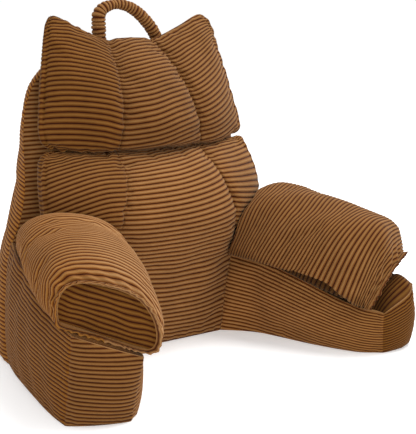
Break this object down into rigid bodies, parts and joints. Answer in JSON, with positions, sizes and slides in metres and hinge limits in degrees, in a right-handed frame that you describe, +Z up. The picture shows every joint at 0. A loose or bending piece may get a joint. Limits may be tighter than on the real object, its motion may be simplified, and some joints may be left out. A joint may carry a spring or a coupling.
{
  "type": "reading pillow with arms",
  "caption": "Corduroy backrest pillow: filled wedge with splayed arms, channelled lumbar and eared head cushions, a pad on each arm, and a gathered carrying handle.",
  "frame": {"origin": "middle of the footprint's box, on the floor", "axes": "+Z up, -Y towards the seat's open front, +X to the sitter's left, across the arms"},
  "size_m": [0.765, 0.5901, 0.6291],
  "materials": {
    "body_corduroy": "wide-wale corduroy, golden brown, soft pile",
    "cushion_corduroy": "wide-wale corduroy, golden brown, soft pile",
    "pad_corduroy": "wide-wale corduroy, golden brown, soft pile"
  },
  "bodies": {
    "root": {"main_body": "body_corduroy", "lumbar_cushion": "cushion_corduroy", "head_cushion": "cushion_corduroy", "armrest_left": "pad_corduroy", "armrest_right": "pad_corduroy", "handle": "body_corduroy"}
  },
  "joints": []
}
